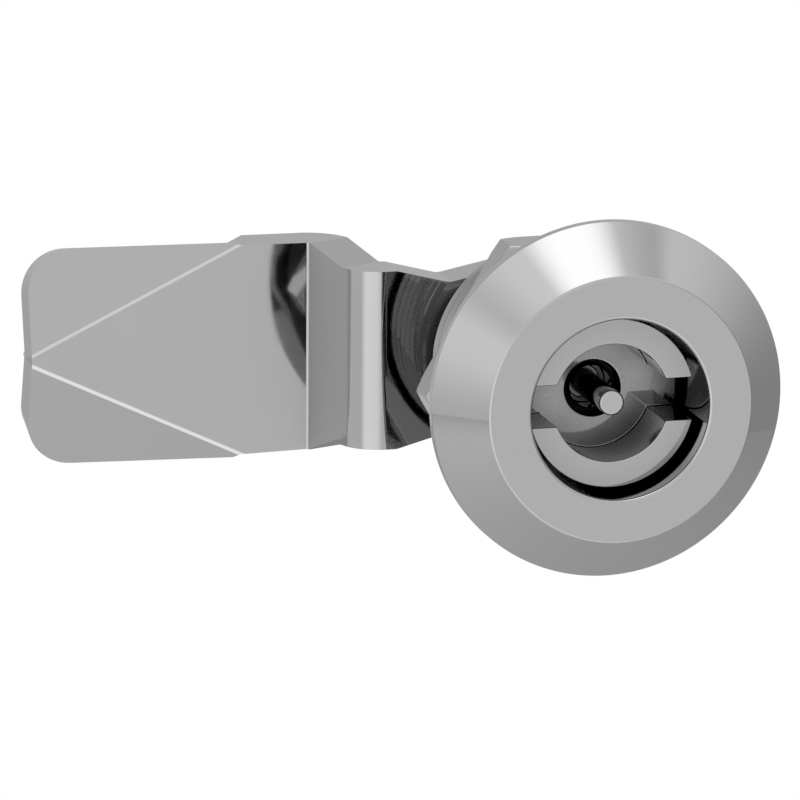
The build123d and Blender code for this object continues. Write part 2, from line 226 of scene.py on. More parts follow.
class Finishes(bpy.types.PropertyGroup):
    """Colours and gloss"""

    housing: colour("Housing", "Polished steel of the head and barrel", (0.555, 0.557, 0.562))
    driver: colour("Driver", "Polished steel of the slotted ring", (0.56, 0.562, 0.567))
    pin: colour("Pin", "Polished steel of the pin", (0.59, 0.592, 0.596))
    cam: colour("Cam", "Polished steel of the cam", (0.55, 0.552, 0.557))
    nut: colour("Nut", "Polished steel of the nut", (0.51, 0.512, 0.517))
    screw: colour("Screw", "Bright steel of the screw", (0.53, 0.53, 0.535))
    washer: colour("Washers", "Brushed steel of the washers", (0.50, 0.50, 0.505))
    rubber: colour("Rubber", "Black rubber of the seals", (0.045, 0.045, 0.046))
    plastic: colour("Plastic", "Pale plastic of the slide washer", (0.72, 0.70, 0.64))
    polish: share("Polish roughness", "Roughness of the polished steel", 0.055)
    # Painted shade: the barrel behind the head is darkened to this share of the head's brightness
    barrel_painted_shade: share("Barrel shade", "Brightness of the duller barrel as a share of the head's", 0.6)
    brushed: share("Brushed roughness", "Roughness of the brushed steel", 0.24)


class StudioSettings(bpy.types.PropertyGroup):
    """Camera, floor and the studio's soft walls"""

    azimuth: bearing("Azimuth", "Camera's turn to the left", 16.0)
    elevation: bearing("Elevation", "Camera's height angle", 13.0)
    roll: bearing("Roll", "Camera's tilt", 0.25)
    lens: FloatProperty(name="Lens", description="Focal length in millimetres", default=1500.0, min=50.0)
    frame_width: length("Frame width", "Width that the picture shows at the middle of the lock", 71.65)
    floor_drop: length("Floor drop", "Distance of the floor below the lock's axis", 300.0)
    floor_left: length("Floor left", "Reach of the floor to the left", 1150.0)
    floor_right: length("Floor right", "Reach of the floor to the right", 700.0)
    floor_front: length("Floor front", "Reach of the floor to the front", 450.0)
    floor_back: length("Floor back", "Reach of the floor to the back", 850.0)
    floor_colour: colour("Floor", "Pale floor", (0.42, 0.42, 0.42))
    lamp_power: FloatProperty(
        name="Lamp power",
        description="Power of the soft lamp at the front left",
        default=10.4,
        min=0.0,
        unit="POWER",
    )
    lamp_size: length("Lamp size", "Width of the soft lamp", 500.0, 10.0)
    wall_distance: length("Wall distance", "Distance of the studio's soft walls", 6000.0)


SETTINGS = (
    ("cam_lock_housing", HousingSizes),
    ("cam_lock_edges", EdgeSizes),
    ("cam_lock_toothed_washer", ToothedWasherSizes),
    ("cam_lock_finishes", Finishes),
    ("cam_lock_studio", StudioSettings),
)


# Node trees


def link_or_set(tree, socket, value):
    """Feeds a socket from another socket, or sets it to a plain value."""
    if isinstance(value, bpy.types.NodeSocket):
        tree.links.new(value, socket)
    else:
        socket.default_value = value


def calculate(tree, operation, *values):
    """Math node on sockets or numbers; returns its output."""
    node = tree.nodes.new("ShaderNodeMath")
    node.operation = operation
    for socket, value in zip(node.inputs, values):
        link_or_set(tree, socket, value)
    return node.outputs[0]


def eased(tree, value, low, high, at_low=0.0, at_high=1.0):
    """Smooth step of a value between two limits; returns its output."""
    node = tree.nodes.new("ShaderNodeMapRange")
    node.interpolation_type = "SMOOTHSTEP"
    for index, entry in enumerate((value, low, high, at_low, at_high)):
        link_or_set(tree, node.inputs[index], entry)
    return node.outputs[0]


def combine(tree, **axes):
    """Vector from sockets or numbers by axis name; returns its output."""
    node = tree.nodes.new("ShaderNodeCombineXYZ")
    for axis, value in axes.items():
        link_or_set(tree, node.inputs[axis], value)
    return node.outputs[0]


def separate(tree, vector):
    """X, Y and Z outputs of a vector."""
    node = tree.nodes.new("ShaderNodeSeparateXYZ")
    tree.links.new(vector, node.inputs[0])
    return node.outputs["X"], node.outputs["Y"], node.outputs["Z"]


def shape_tree(name, inputs):
    """Empty Geometry Nodes tree with named inputs; returns the tree, its inputs by name and its end."""
    tree = bpy.data.node_groups.new(name, "GeometryNodeTree")
    kinds = {float: "NodeSocketFloat", int: "NodeSocketInt", None: "NodeSocketMaterial"}
    for label, kind in inputs:
        tree.interface.new_socket(name=label, in_out="INPUT", socket_type=kinds[kind])
    tree.interface.new_socket(name="Geometry", in_out="OUTPUT", socket_type="NodeSocketGeometry")
    source = tree.nodes.new("NodeGroupInput")
    sink = tree.nodes.new("NodeGroupOutput")
    return tree, source.outputs, sink


def close_tree(tree, geometry, material, sink):
    """Realizes the instances, sets the material and ends the tree."""
    realize = tree.nodes.new("GeometryNodeRealizeInstances")
    paint = tree.nodes.new("GeometryNodeSetMaterial")
    tree.links.new(geometry, realize.inputs["Geometry"])
    tree.links.new(realize.outputs["Geometry"], paint.inputs["Geometry"])
    tree.links.new(material, paint.inputs["Material"])
    tree.links.new(paint.outputs["Geometry"], sink.inputs["Geometry"])


def evaluated_mesh(carrier):
    """Plain mesh of an object with its modifiers applied; the object is removed."""
    carrier.update_tag()
    bpy.context.view_layer.update()
    depsgraph = bpy.context.evaluated_depsgraph_get()
    mesh = bpy.data.meshes.new_from_object(carrier.evaluated_get(depsgraph), depsgraph=depsgraph)
    bpy.data.objects.remove(carrier)
    return mesh


def mesh_from_tree(tree, name, values):
    """Runs a Geometry Nodes tree with these input values and returns its plain mesh."""
    carrier = bpy.data.objects.new(name, bpy.data.meshes.new(name))
    bpy.context.scene.collection.objects.link(carrier)
    modifier = carrier.modifiers.new("shape", "NODES")
    modifier.node_group = tree
    for item in tree.interface.items_tree:
        if item.in_out == "INPUT" and item.name in values:
            modifier[item.identifier] = values[item.name]
    mesh = evaluated_mesh(carrier)
    if not mesh.polygons:
        raise RuntimeError(f"the tree {tree.name} made no faces")
    return mesh


def thread_tree():
    """Tree of a threaded barrel along Y, faded out at the neck and chamfered at its end."""
    tree, given, sink = shape_tree(
        "Barrel thread",
        (
            ("Radius", float),
            ("Depth", float),
            ("Pitch", float),
            ("Length", float),
            ("End chamfer", float),
            ("Neck", float),
            ("Segments", int),
            ("Material", None),
        ),
    )
    pitches = calculate(tree, "DIVIDE", given["Length"], given["Pitch"])
    turns = calculate(tree, "ADD", calculate(tree, "CEIL", pitches), 2)
    rows = calculate(tree, "MULTIPLY", turns, THREAD_ROWS)
    grid = tree.nodes.new("GeometryNodeMeshGrid")
    grid.inputs["Size X"].default_value = 1.0
    grid.inputs["Size Y"].default_value = 1.0
    tree.links.new(calculate(tree, "ADD", given["Segments"], 1), grid.inputs["Vertices X"])
    tree.links.new(calculate(tree, "ADD", rows, 1), grid.inputs["Vertices Y"])
    place = tree.nodes.new("GeometryNodeInputPosition")
    grid_x, grid_y, _ = separate(tree, place.outputs[0])
    around = calculate(tree, "ADD", grid_x, 0.5)
    row = calculate(tree, "MULTIPLY", calculate(tree, "ADD", grid_y, 0.5), rows)
    step = calculate(tree, "DIVIDE", calculate(tree, "ADD", row, 0.5), THREAD_ROWS)
    travel = calculate(tree, "SUBTRACT", calculate(tree, "ADD", step, around), 1 + 1 / THREAD_ROWS)
    free = calculate(tree, "MULTIPLY", travel, given["Pitch"])
    along = calculate(tree, "MINIMUM", calculate(tree, "MAXIMUM", free, 0.0), given["Length"])
    from_crest = calculate(tree, "SUBTRACT", calculate(tree, "FRACT", calculate(tree, "ADD", step, 0.5)), 0.5)
    spread = calculate(tree, "MULTIPLY", calculate(tree, "ABSOLUTE", from_crest), 2)
    sunk = calculate(tree, "DIVIDE", calculate(tree, "SUBTRACT", spread, THREAD_CREST), THREAD_FLANK)
    full_at = calculate(tree, "ADD", given["Neck"], given["Pitch"])
    fade = eased(tree, along, given["Neck"], full_at)
    cut = calculate(tree, "MULTIPLY", calculate(tree, "MULTIPLY", sunk, given["Depth"]), fade)
    threaded = calculate(tree, "SUBTRACT", given["Radius"], cut)
    to_end = calculate(tree, "SUBTRACT", given["Length"], along)
    cone = calculate(tree, "ADD", calculate(tree, "SUBTRACT", given["Radius"], given["End chamfer"]), to_end)
    radius = calculate(tree, "MINIMUM", threaded, cone)
    angle = calculate(tree, "MULTIPLY", calculate(tree, "ADD", around, 0.25), 2 * math.pi)
    x = calculate(tree, "MULTIPLY", radius, calculate(tree, "SINE", angle))
    z = calculate(tree, "MULTIPLY", radius, calculate(tree, "COSINE", angle))
    move = tree.nodes.new("GeometryNodeSetPosition")
    tree.links.new(grid.outputs["Mesh"], move.inputs["Geometry"])
    tree.links.new(combine(tree, X=x, Y=along, Z=z), move.inputs["Position"])
    merge = tree.nodes.new("GeometryNodeMergeByDistance")
    merge.inputs["Distance"].default_value = SEAM_DISTANCE
    tree.links.new(move.outputs["Geometry"], merge.inputs["Geometry"])
    close_tree(tree, merge.outputs["Geometry"], given["Material"], sink)
    return tree


def tooth_ring_tree():
    """Tree of a toothed washer: a flat ring swept round the axis and twisted teeth set round it."""
    tree, given, sink = shape_tree(
        "Toothed washer",
        (
            ("Bore radius", float),
            ("Ring radius", float),
            ("Tip radius", float),
            ("Sheet", float),
            ("Middle", float),
            ("Tooth width", float),
            ("Tooth twist", float),
            ("Teeth", int),
            ("Segments", int),
            ("Material", None),
        ),
    )
    across = calculate(tree, "ADD", given["Bore radius"], given["Ring radius"])
    middle_r = calculate(tree, "MULTIPLY", across, 0.5)
    path = tree.nodes.new("GeometryNodeCurvePrimitiveCircle")
    tree.links.new(given["Segments"], path.inputs["Resolution"])
    tree.links.new(middle_r, path.inputs["Radius"])
    section = tree.nodes.new("GeometryNodeCurvePrimitiveQuadrilateral")
    ring_width = calculate(tree, "SUBTRACT", given["Ring radius"], given["Bore radius"])
    tree.links.new(ring_width, section.inputs["Width"])
    tree.links.new(given["Sheet"], section.inputs["Height"])
    sweep = tree.nodes.new("GeometryNodeCurveToMesh")
    tree.links.new(path.outputs["Curve"], sweep.inputs["Curve"])
    tree.links.new(section.outputs["Curve"], sweep.inputs["Profile Curve"])

    root_r = calculate(tree, "ADD", given["Bore radius"], calculate(tree, "MULTIPLY", given["Sheet"], 0.5))
    reach = calculate(tree, "SUBTRACT", given["Tip radius"], root_r)
    size = combine(tree, X=reach, Y=given["Tooth width"], Z=given["Sheet"])
    block = tree.nodes.new("GeometryNodeMeshCube")
    block.inputs["Vertices X"].default_value = 5
    tree.links.new(size, block.inputs["Size"])
    place = tree.nodes.new("GeometryNodeInputPosition")
    along, aside, thick = separate(tree, place.outputs[0])
    out = calculate(tree, "ADD", calculate(tree, "DIVIDE", along, reach), 0.5)
    bend = calculate(tree, "MULTIPLY", given["Tooth twist"], eased(tree, out, 0.25, 0.7))
    taper = eased(tree, out, 0.2, 1.0, 1.0, 0.72)
    wide = calculate(tree, "MULTIPLY", aside, taper)
    cosine = calculate(tree, "COSINE", bend)
    sine = calculate(tree, "SINE", bend)
    wide_cosine = calculate(tree, "MULTIPLY", wide, cosine)
    thick_sine = calculate(tree, "MULTIPLY", thick, sine)
    side = calculate(tree, "SUBTRACT", wide_cosine, thick_sine)
    wide_sine = calculate(tree, "MULTIPLY", wide, sine)
    thick_cosine = calculate(tree, "MULTIPLY", thick, cosine)
    rise = calculate(tree, "ADD", wide_sine, thick_cosine)
    tooth_middle = calculate(tree, "ADD", root_r, calculate(tree, "MULTIPLY", reach, 0.5))
    stand = calculate(tree, "ADD", along, tooth_middle)
    twist = tree.nodes.new("GeometryNodeSetPosition")
    tree.links.new(block.outputs["Mesh"], twist.inputs["Geometry"])
    tree.links.new(combine(tree, X=stand, Y=side, Z=rise), twist.inputs["Position"])

    points = tree.nodes.new("GeometryNodePoints")
    tree.links.new(given["Teeth"], points.inputs["Count"])
    index = tree.nodes.new("GeometryNodeInputIndex")
    tooth_share = calculate(tree, "DIVIDE", index.outputs[0], given["Teeth"])
    turn = calculate(tree, "MULTIPLY", tooth_share, 2 * math.pi)
    repeat = tree.nodes.new("GeometryNodeInstanceOnPoints")
    tree.links.new(points.outputs[0], repeat.inputs["Points"])
    tree.links.new(twist.outputs["Geometry"], repeat.inputs["Instance"])
    tree.links.new(combine(tree, Z=turn), repeat.inputs["Rotation"])

    together = tree.nodes.new("GeometryNodeJoinGeometry")
    tree.links.new(repeat.outputs["Instances"], together.inputs["Geometry"])
    tree.links.new(sweep.outputs["Mesh"], together.inputs["Geometry"])
    stand_up = tree.nodes.new("GeometryNodeTransform")
    stand_up.inputs["Rotation"].default_value = (math.radians(90), 0, 0)
    tree.links.new(combine(tree, Y=given["Middle"]), stand_up.inputs["Translation"])
    tree.links.new(together.outputs["Geometry"], stand_up.inputs["Geometry"])
    close_tree(tree, stand_up.outputs["Geometry"], given["Material"], sink)
    return tree


# Materials


def surface_noise(tree, scale, detail, stretch=(1, 1, 1)):
    """Fine noise in the piece's own coordinates; returns its factor."""
    coordinates = tree.nodes.new("ShaderNodeTexCoord")
    mapping = tree.nodes.new("ShaderNodeMapping")
    mapping.inputs["Scale"].default_value = stretch
    noise = tree.nodes.new("ShaderNodeTexNoise")
    noise.inputs["Scale"].default_value = scale
    noise.inputs["Detail"].default_value = detail
    tree.links.new(coordinates.outputs["Object"], mapping.inputs["Vector"])
    tree.links.new(mapping.outputs["Vector"], noise.inputs["Vector"])
    return noise.outputs["Fac"]


def start_material(name):
    """Material with an empty tree; returns the material, its tree and its shader node."""
    material = bpy.data.materials.get(name)
    if material is not None:
        bpy.data.materials.remove(material)
    material = bpy.data.materials.new(name)
    material.use_nodes = True
    tree = material.node_tree
    shader = tree.nodes["Principled BSDF"]
    return material, tree, shader


def tint(tree, shader, base, factor, low, high):
    """Lets the base colour drift between two shares of itself."""
    mix = tree.nodes.new("ShaderNodeMix")
    mix.data_type = "RGBA"
    mix.inputs["A"].default_value = (*[c * low for c in base], 1.0)
    mix.inputs["B"].default_value = (*[min(1.0, c * high) for c in base], 1.0)
    tree.links.new(factor, mix.inputs["Factor"])
    tree.links.new(mix.outputs["Result"], shader.inputs["Base Color"])


def add_bump(tree, shader, height, strength, depth):
    """Raises the shader's surface by this height."""
    bump = tree.nodes.new("ShaderNodeBump")
    bump.inputs["Strength"].default_value = strength
    bump.inputs["Distance"].default_value = depth
    tree.links.new(height, bump.inputs["Height"])
    tree.links.new(bump.outputs["Normal"], shader.inputs["Normal"])


def shade_cavities(tree, shader, barrel_painted_shade):
    """Painted shade: darkens the base colour where the surface is shut in, and on the barrel behind the head.
    """
    openness = tree.nodes.new("ShaderNodeAmbientOcclusion")
    openness.samples = 8
    openness.inputs["Distance"].default_value = CAVITY_REACH
    socket = shader.inputs["Base Color"]
    plain = socket.links[0].from_socket
    mix = tree.nodes.new("ShaderNodeMix")
    mix.data_type = "RGBA"
    mix.inputs["A"].default_value = (0.0, 0.0, 0.0, 1.0)
    tree.links.new(plain, mix.inputs["B"])
    # Painted shade: the more the ambient occlusion finds the surface shut in, the darker its base colour
    deep = eased(tree, openness.outputs["AO"], *DEEP_SHADE)
    shallow = eased(tree, openness.outputs["AO"], *SHALLOW_SHADE)
    lit = calculate(tree, "ADD", deep, shallow)
    # Painted shade on the barrel behind the head, by depth along the axis
    coordinates = tree.nodes.new("ShaderNodeTexCoord")
    _, y, _ = separate(tree, coordinates.outputs["Object"])
    shaded = eased(tree, y, PAINTED_BARREL_SHADE_START, PAINTED_BARREL_SHADE_FULL, 1.0, barrel_painted_shade)
    tree.links.new(calculate(tree, "MULTIPLY", lit, shaded), mix.inputs["Factor"])
    tree.links.new(mix.outputs["Result"], socket)


def polished_steel(name, base, roughness, barrel_painted_shade=1.0):
    """Mirror-bright polished steel: faint cloudiness, hair-fine polishing marks, and painted shade in shut-in
    places and, for the housing, on the barrel behind the head.
    """
    material, tree, shader = start_material(name)
    shader.inputs["Metallic"].default_value = 1.0
    cloud = surface_noise(tree, 180.0, 3.0)
    tint(tree, shader, base, cloud, 0.985, 1.015)
    shade_cavities(tree, shader, barrel_painted_shade)
    marks = surface_noise(tree, 900.0, 4.0, (1.0, 6.0, 1.0))
    blend = calculate(tree, "MULTIPLY", marks, cloud)
    dulled = eased(tree, blend, 0.1, 0.5, roughness * 0.8, roughness * 1.3)
    tree.links.new(dulled, shader.inputs["Roughness"])
    add_bump(tree, shader, marks, 0.04, 0.002 * MM)
    return material


def brushed_steel(name, base, roughness):
    """Tumbled sheet steel of the washers."""
    material, tree, shader = start_material(name)
    shader.inputs["Metallic"].default_value = 1.0
    grain = surface_noise(tree, 2600.0, 3.0)
    tint(tree, shader, base, grain, 0.93, 1.05)
    dulled = eased(tree, grain, 0.25, 0.75, roughness * 0.8, roughness * 1.25)
    tree.links.new(dulled, shader.inputs["Roughness"])
    add_bump(tree, shader, grain, 0.25, 0.01 * MM)
    return material


def black_rubber(name, base):
    """Moulded rubber with a fine matt skin."""
    material, tree, shader = start_material(name)
    shader.inputs["Roughness"].default_value = 0.62
    shader.inputs["Specular IOR Level"].default_value = 0.4
    skin = surface_noise(tree, 3500.0, 3.0)
    tint(tree, shader, base, skin, 0.75, 1.3)
    add_bump(tree, shader, skin, 0.4, 0.02 * MM)
    return material


def pale_plastic(name, base):
    """Satin moulded plastic."""
    material, tree, shader = start_material(name)
    shader.inputs["Roughness"].default_value = 0.38
    skin = surface_noise(tree, 900.0, 2.0)
    tint(tree, shader, base, skin, 0.95, 1.04)
    return material


def finish_for(slot):
    """Material of one of the record's slots."""
    ready = bpy.data.materials.get(slot)
    if ready is not None and ready.get("dressed"):
        return ready
    finishes = bpy.context.scene.cam_lock_finishes
    polish = finishes.polish
    makers = {
        "housing_steel": lambda: polished_steel(slot, finishes.housing, polish, finishes.barrel_painted_shade),
        "driver_steel": lambda: polished_steel(slot, finishes.driver, polish),
        "pin_steel": lambda: polished_steel(slot, finishes.pin, polish),
        "cam_steel": lambda: polished_steel(slot, finishes.cam, polish),
        "nut_steel": lambda: polished_steel(slot, finishes.nut, polish),
        "screw_steel": lambda: polished_steel(slot, finishes.screw, polish * SCREW_ROUGHNESS_GAIN),
        "washer_steel": lambda: brushed_steel(slot, finishes.washer, finishes.brushed),
        "seal_rubber": lambda: black_rubber(slot, finishes.rubber),
        "slide_plastic": lambda: pale_plastic(slot, finishes.plastic),
    }
    material = makers[slot]()
    material["dressed"] = True
    return material


# Shapes


def place_piece(name, mesh, slot, nodes):
    """Links a finished mesh, paints it and lets it stand for these nodes of the construction model."""
    piece = bpy.data.objects.new(name, mesh)
    bpy.context.scene.collection.objects.link(piece)
    mesh.materials.clear()
    mesh.materials.append(finish_for(slot))
    body = frame["nodes"][nodes[0]]["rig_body"]
    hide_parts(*nodes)
    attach(piece, body)
    return piece


def soften(piece, radius, segments=3, angle=ROUNDING_ANGLE):
    """Rounds the piece's sharp edges and lets its large faces keep their own direction."""
    piece.data.shade_smooth()
    bevel = piece.modifiers.new("rounded edges", "BEVEL")
    bevel.width = radius
    bevel.segments = segments
    bevel.limit_method = "ANGLE"
    bevel.angle_limit = math.radians(angle)
    bevel.use_clamp_overlap = True
    weigh_normals(piece)


def weigh_normals(piece):
    """Weights the corner normals by face area, so that flat faces stay flat in the mirror."""
    weighted = piece.modifiers.new("weighted normals", "WEIGHTED_NORMAL")
    weighted.mode = "FACE_AREA"
    weighted.weight = 100
    weighted.keep_sharp = True


def merged_copy(node):
    """Mesh of a construction node with its triangles merged into whole faces."""
    mesh = frame["nodes"][node].data.copy()
    shape = bmesh.new()
    shape.from_mesh(mesh)
    bmesh.ops.remove_doubles(shape, verts=shape.verts, dist=MERGE_DISTANCE)
    bmesh.ops.dissolve_limit(
        shape, angle_limit=math.radians(0.2), verts=shape.verts, edges=shape.edges, delimit={"NORMAL"}
    )
    shape.to_mesh(mesh)
    shape.free()
    mesh.name = node
    return mesh


def dress(node, slot, radius, segments=3, angle=ROUNDING_ANGLE):
    """Dressed copy of one construction node with rounded edges."""
    piece = place_piece(f"{node}_dressed", merged_copy(node), slot, [node])
    soften(piece, radius, segments, angle)


def mesh_from_shape(name, shape):
    """New mesh from a bmesh, which is freed."""
    mesh = bpy.data.meshes.new(name)
    shape.to_mesh(mesh)
    shape.free()
    return mesh


def rounded_profile(corners):
    """Profile points from (radius, y, round) corners; a round above zero puts an arc in place of one."""
    points = []
    for index, (r, y, round_r) in enumerate(corners):
        here = Vector((r, y))
        if round_r <= 0 or index in (0, len(corners) - 1):
            points.append(here)
            continue
        back = (Vector(corners[index - 1][:2]) - here).normalized()
        ahead = (Vector(corners[index + 1][:2]) - here).normalized()
        opening = back.angle(ahead)
        setback = round_r / math.tan(opening / 2)
        centre = here + (back + ahead).normalized() * (round_r / math.sin(opening / 2))
        start = here + back * setback - centre
        sweep = math.pi - opening
        if back.x * ahead.y - back.y * ahead.x > 0:
            sweep = -sweep
        steps = max(2, round(abs(math.degrees(sweep)) / 12))
        for step in range(steps + 1):
            turn = sweep * step / steps
            cosine, sine = math.cos(turn), math.sin(turn)
            arm = Vector((start.x * cosine - start.y * sine, start.x * sine + start.y * cosine))
            points.append(centre + arm)
    return points


def turned_shell(shape, points, segments):
    """Adds the surface that the profile sweeps round the Y axis to a bmesh."""
    rings = []
    for r, y in points:
        ring = []
        for step in range(segments):
            angle = 2 * math.pi * step / segments
            ring.append(shape.verts.new((r * math.sin(angle), y, r * math.cos(angle))))
        rings.append(ring)
    for ring, after in zip(rings, rings[1:]):
        for step in range(segments):
            ahead = (step + 1) % segments
            shape.faces.new((ring[step], ring[ahead], after[ahead], after[step]))


def prism(name, outline, front_y, back_y):
    """Cutter: an outline in the XZ plane drawn out from front_y to back_y."""
    shape = bmesh.new()
    front = [shape.verts.new((x, front_y, z)) for x, z in outline]
    back = [shape.verts.new((x, back_y, z)) for x, z in outline]
    shape.faces.new(front)
    shape.faces.new(reversed(back))
    for index in range(len(outline)):
        ahead = (index + 1) % len(outline)
        shape.faces.new((front[ahead], front[index], back[index], back[ahead]))
    bmesh.ops.recalc_face_normals(shape, faces=shape.faces)
    cutter = bpy.data.objects.new(name, mesh_from_shape(name, shape))
    bpy.context.scene.collection.objects.link(cutter)
    return cutter


def cut_away(mesh, cutters):
    """Mesh with the cutters taken out of it; the cutters are removed."""
    carrier = bpy.data.objects.new("cut", mesh)
    bpy.context.scene.collection.objects.link(carrier)
    for cutter in cutters:
        cut = carrier.modifiers.new("cut", "BOOLEAN")
        cut.operation = "DIFFERENCE"
        cut.solver = "EXACT"
        cut.object = cutter
    result = evaluated_mesh(carrier)
    for cutter in cutters:
        bpy.data.objects.remove(cutter)
    return result


# Operators


class CAMLOCK_OT_housing(bpy.types.Operator):
    """Turns the head and bores, cuts the barrel's thread, flats and stop sector"""

    bl_idname = "camlock.housing"
    bl_label = "Housing"

    def execute(self, context):
        sizes = context.scene.cam_lock_housing
        head_r = HOUSING_HIGH.x
        face_y = HOUSING_LOW.y
        barrel_length = HOUSING_HIGH.y
        thread = mesh_from_tree(
            thread_tree(),
            "barrel_thread",
            {
                "Radius": sizes.barrel_r,
                "Depth": sizes.thread_depth,
                "Pitch": sizes.thread_pitch,
                "Length": barrel_length,
                "End chamfer": sizes.thread_end,
                "Neck": sizes.thread_neck,
                "Segments": sizes.segments,
                "Material": finish_for("housing_steel"),
            },
        )
        end_r = sizes.barrel_r - sizes.thread_end
        corners = (
            (sizes.barrel_r, 0, 0),
            (sizes.seal_inner_r, 0, sizes.rim_round / 2),
            (sizes.seal_inner_r, -sizes.seal_depth, 0),
            (sizes.seal_outer_r, -sizes.seal_depth, 0),
            (sizes.seal_outer_r, 0, sizes.rim_round / 2),
            (head_r, 0, sizes.rim_round),
            (head_r, -sizes.rim_height, sizes.rim_round),
            (sizes.face_r, face_y, sizes.face_round),
            (sizes.bore_r, face_y, sizes.face_round),
            (sizes.bore_r, sizes.shoulder_y, 0),
            (sizes.journal_bore_r, sizes.shoulder_y, 0),
            (sizes.journal_bore_r, sizes.recess_floor_y, 0),
            (sizes.recess_r, sizes.recess_floor_y, 0),
            (sizes.recess_r, barrel_length, sizes.rim_round),
            (end_r, barrel_length, 0),
        )
        shape = bmesh.new()
        turned_shell(shape, rounded_profile(corners), sizes.segments)
        shape.from_mesh(thread)
        bmesh.ops.remove_doubles(shape, verts=shape.verts, dist=SEAM_DISTANCE)
        bmesh.ops.recalc_face_normals(shape, faces=shape.faces)
        mesh = mesh_from_shape("housing_turned", shape)
        beyond = 2 * head_r
        beyond_y = 2 * barrel_length
        off_head_y = 0.002 * MM
        cutters = []
        for side in (1, -1):
            low, high = side * sizes.barrel_flat, side * beyond
            outline = [(-beyond, low), (beyond, low), (beyond, high), (-beyond, high)]
            cutters.append(prism("flat_cutter", outline, off_head_y, beyond_y))
        slant = math.sqrt(0.5)
        out = Vector((slant, slant)) * beyond
        aside = Vector((-slant, slant)) * sizes.stop_half_width
        far = aside + out
        outline = [tuple(aside), tuple(far), (far.x, -far.y), (aside.x, -aside.y)]
        cutters.append(prism("sector_cutter", outline, sizes.stop_floor_y, beyond_y))
        finished = cut_away(mesh, cutters)
        finished.name = "housing_dressed"
        finished.shade_smooth()
        finished.set_sharp_from_angle(angle=math.radians(HOUSING_SHARP_ANGLE))
        piece = place_piece("housing_dressed", finished, "housing_steel", ["housing"])
        weigh_normals(piece)
        return {"FINISHED"}


class CAMLOCK_OT_driver(bpy.types.Operator):
    """Dresses the slotted ring and the pin in its socket"""

    bl_idname = "camlock.driver"
    bl_label = "Driver and pin"

    def execute(self, context):
        edges = context.scene.cam_lock_edges
        dress("driver", "driver_steel", edges.driver)
        dress("key_pin", "pin_steel", edges.pin)
        return {"FINISHED"}


class CAMLOCK_OT_cam(bpy.types.Operator):
    """Dresses the folded cam"""

    bl_idname = "camlock.cam"
    bl_label = "Cam"

    def execute(self, context):
        dress("cam", "cam_steel", context.scene.cam_lock_edges.cam, segments=4)
        return {"FINISHED"}


class CAMLOCK_OT_fasteners(bpy.types.Operator):
    """Dresses the nut, the cam's screw and its two washers"""

    bl_idname = "camlock.fasteners"
    bl_label = "Nut, screw and washers"

    def execute(self, context):
        edges = context.scene.cam_lock_edges
        dress("lock_nut", "nut_steel", edges.nut, angle=HEXAGON_ANGLE)
        dress("cam_screw", "screw_steel", edges.screw, angle=HEXAGON_ANGLE)
        for node in ("screw_flat_washer", "screw_spring_washer", "stop_washer", "retaining_ring"):
            dress(node, "washer_steel", edges.washer, segments=2)
        dress("bow_washer", "washer_steel", edges.washer / 2, segments=2)
        return {"FINISHED"}


class CAMLOCK_OT_toothed_washer(bpy.types.Operator):
    """Makes the toothed washer from its ring and twisted teeth"""

    bl_idname = "camlock.toothed_washer"
    bl_label = "Toothed washer"

    def execute(self, context):
        sizes = context.scene.cam_lock_toothed_washer
        mesh = mesh_from_tree(
            tooth_ring_tree(),
            "toothed_washer_ring",
            {
                "Bore radius": sizes.bore_r,
                "Ring radius": sizes.ring_r,
                "Tip radius": WASHER_HIGH.x,
                "Sheet": sizes.sheet,
                "Middle": (WASHER_LOW.y + WASHER_HIGH.y) / 2,
                "Tooth width": sizes.tooth_width,
                "Tooth twist": sizes.tooth_twist,
                "Teeth": sizes.tooth_count,
                "Segments": sizes.segments,
                "Material": finish_for("washer_steel"),
            },
        )
        piece = place_piece("toothed_washer_dressed", mesh, "washer_steel", ["toothed_washer"])
        soften(piece, context.scene.cam_lock_edges.washer, segments=2)
        return {"FINISHED"}


class CAMLOCK_OT_seals(bpy.types.Operator):
    """Dresses the rubber seals and the plastic slide washer"""

    bl_idname = "camlock.seals"
    bl_label = "Seals and slide washer"

    def execute(self, context):
        edges = context.scene.cam_lock_edges
        for node in ("flange_seal", "shaft_seal"):
            dress(node, "seal_rubber", edges.rubber)
        dress("slide_washer", "slide_plastic", edges.washer, segments=2)
        return {"FINISHED"}


def toward(tree, level, target, amount):
    """Blends one level into another by this amount."""
    step = calculate(tree, "MULTIPLY", calculate(tree, "SUBTRACT", target, level), amount)
    return calculate(tree, "ADD", level, step)


def lobe(tree, direction, centre, inner, outer):
    """One inside a cone of directions, zero outside a wider one, in degrees from its centre."""
    facing = tree.nodes.new("ShaderNodeVectorMath")
    facing.operation = "DOT_PRODUCT"
    facing.inputs[1].default_value = Vector(centre).normalized()
    tree.links.new(direction, facing.inputs[0])
    edge = math.cos(math.radians(outer))
    return eased(tree, facing.outputs["Value"], edge, math.cos(math.radians(inner)))


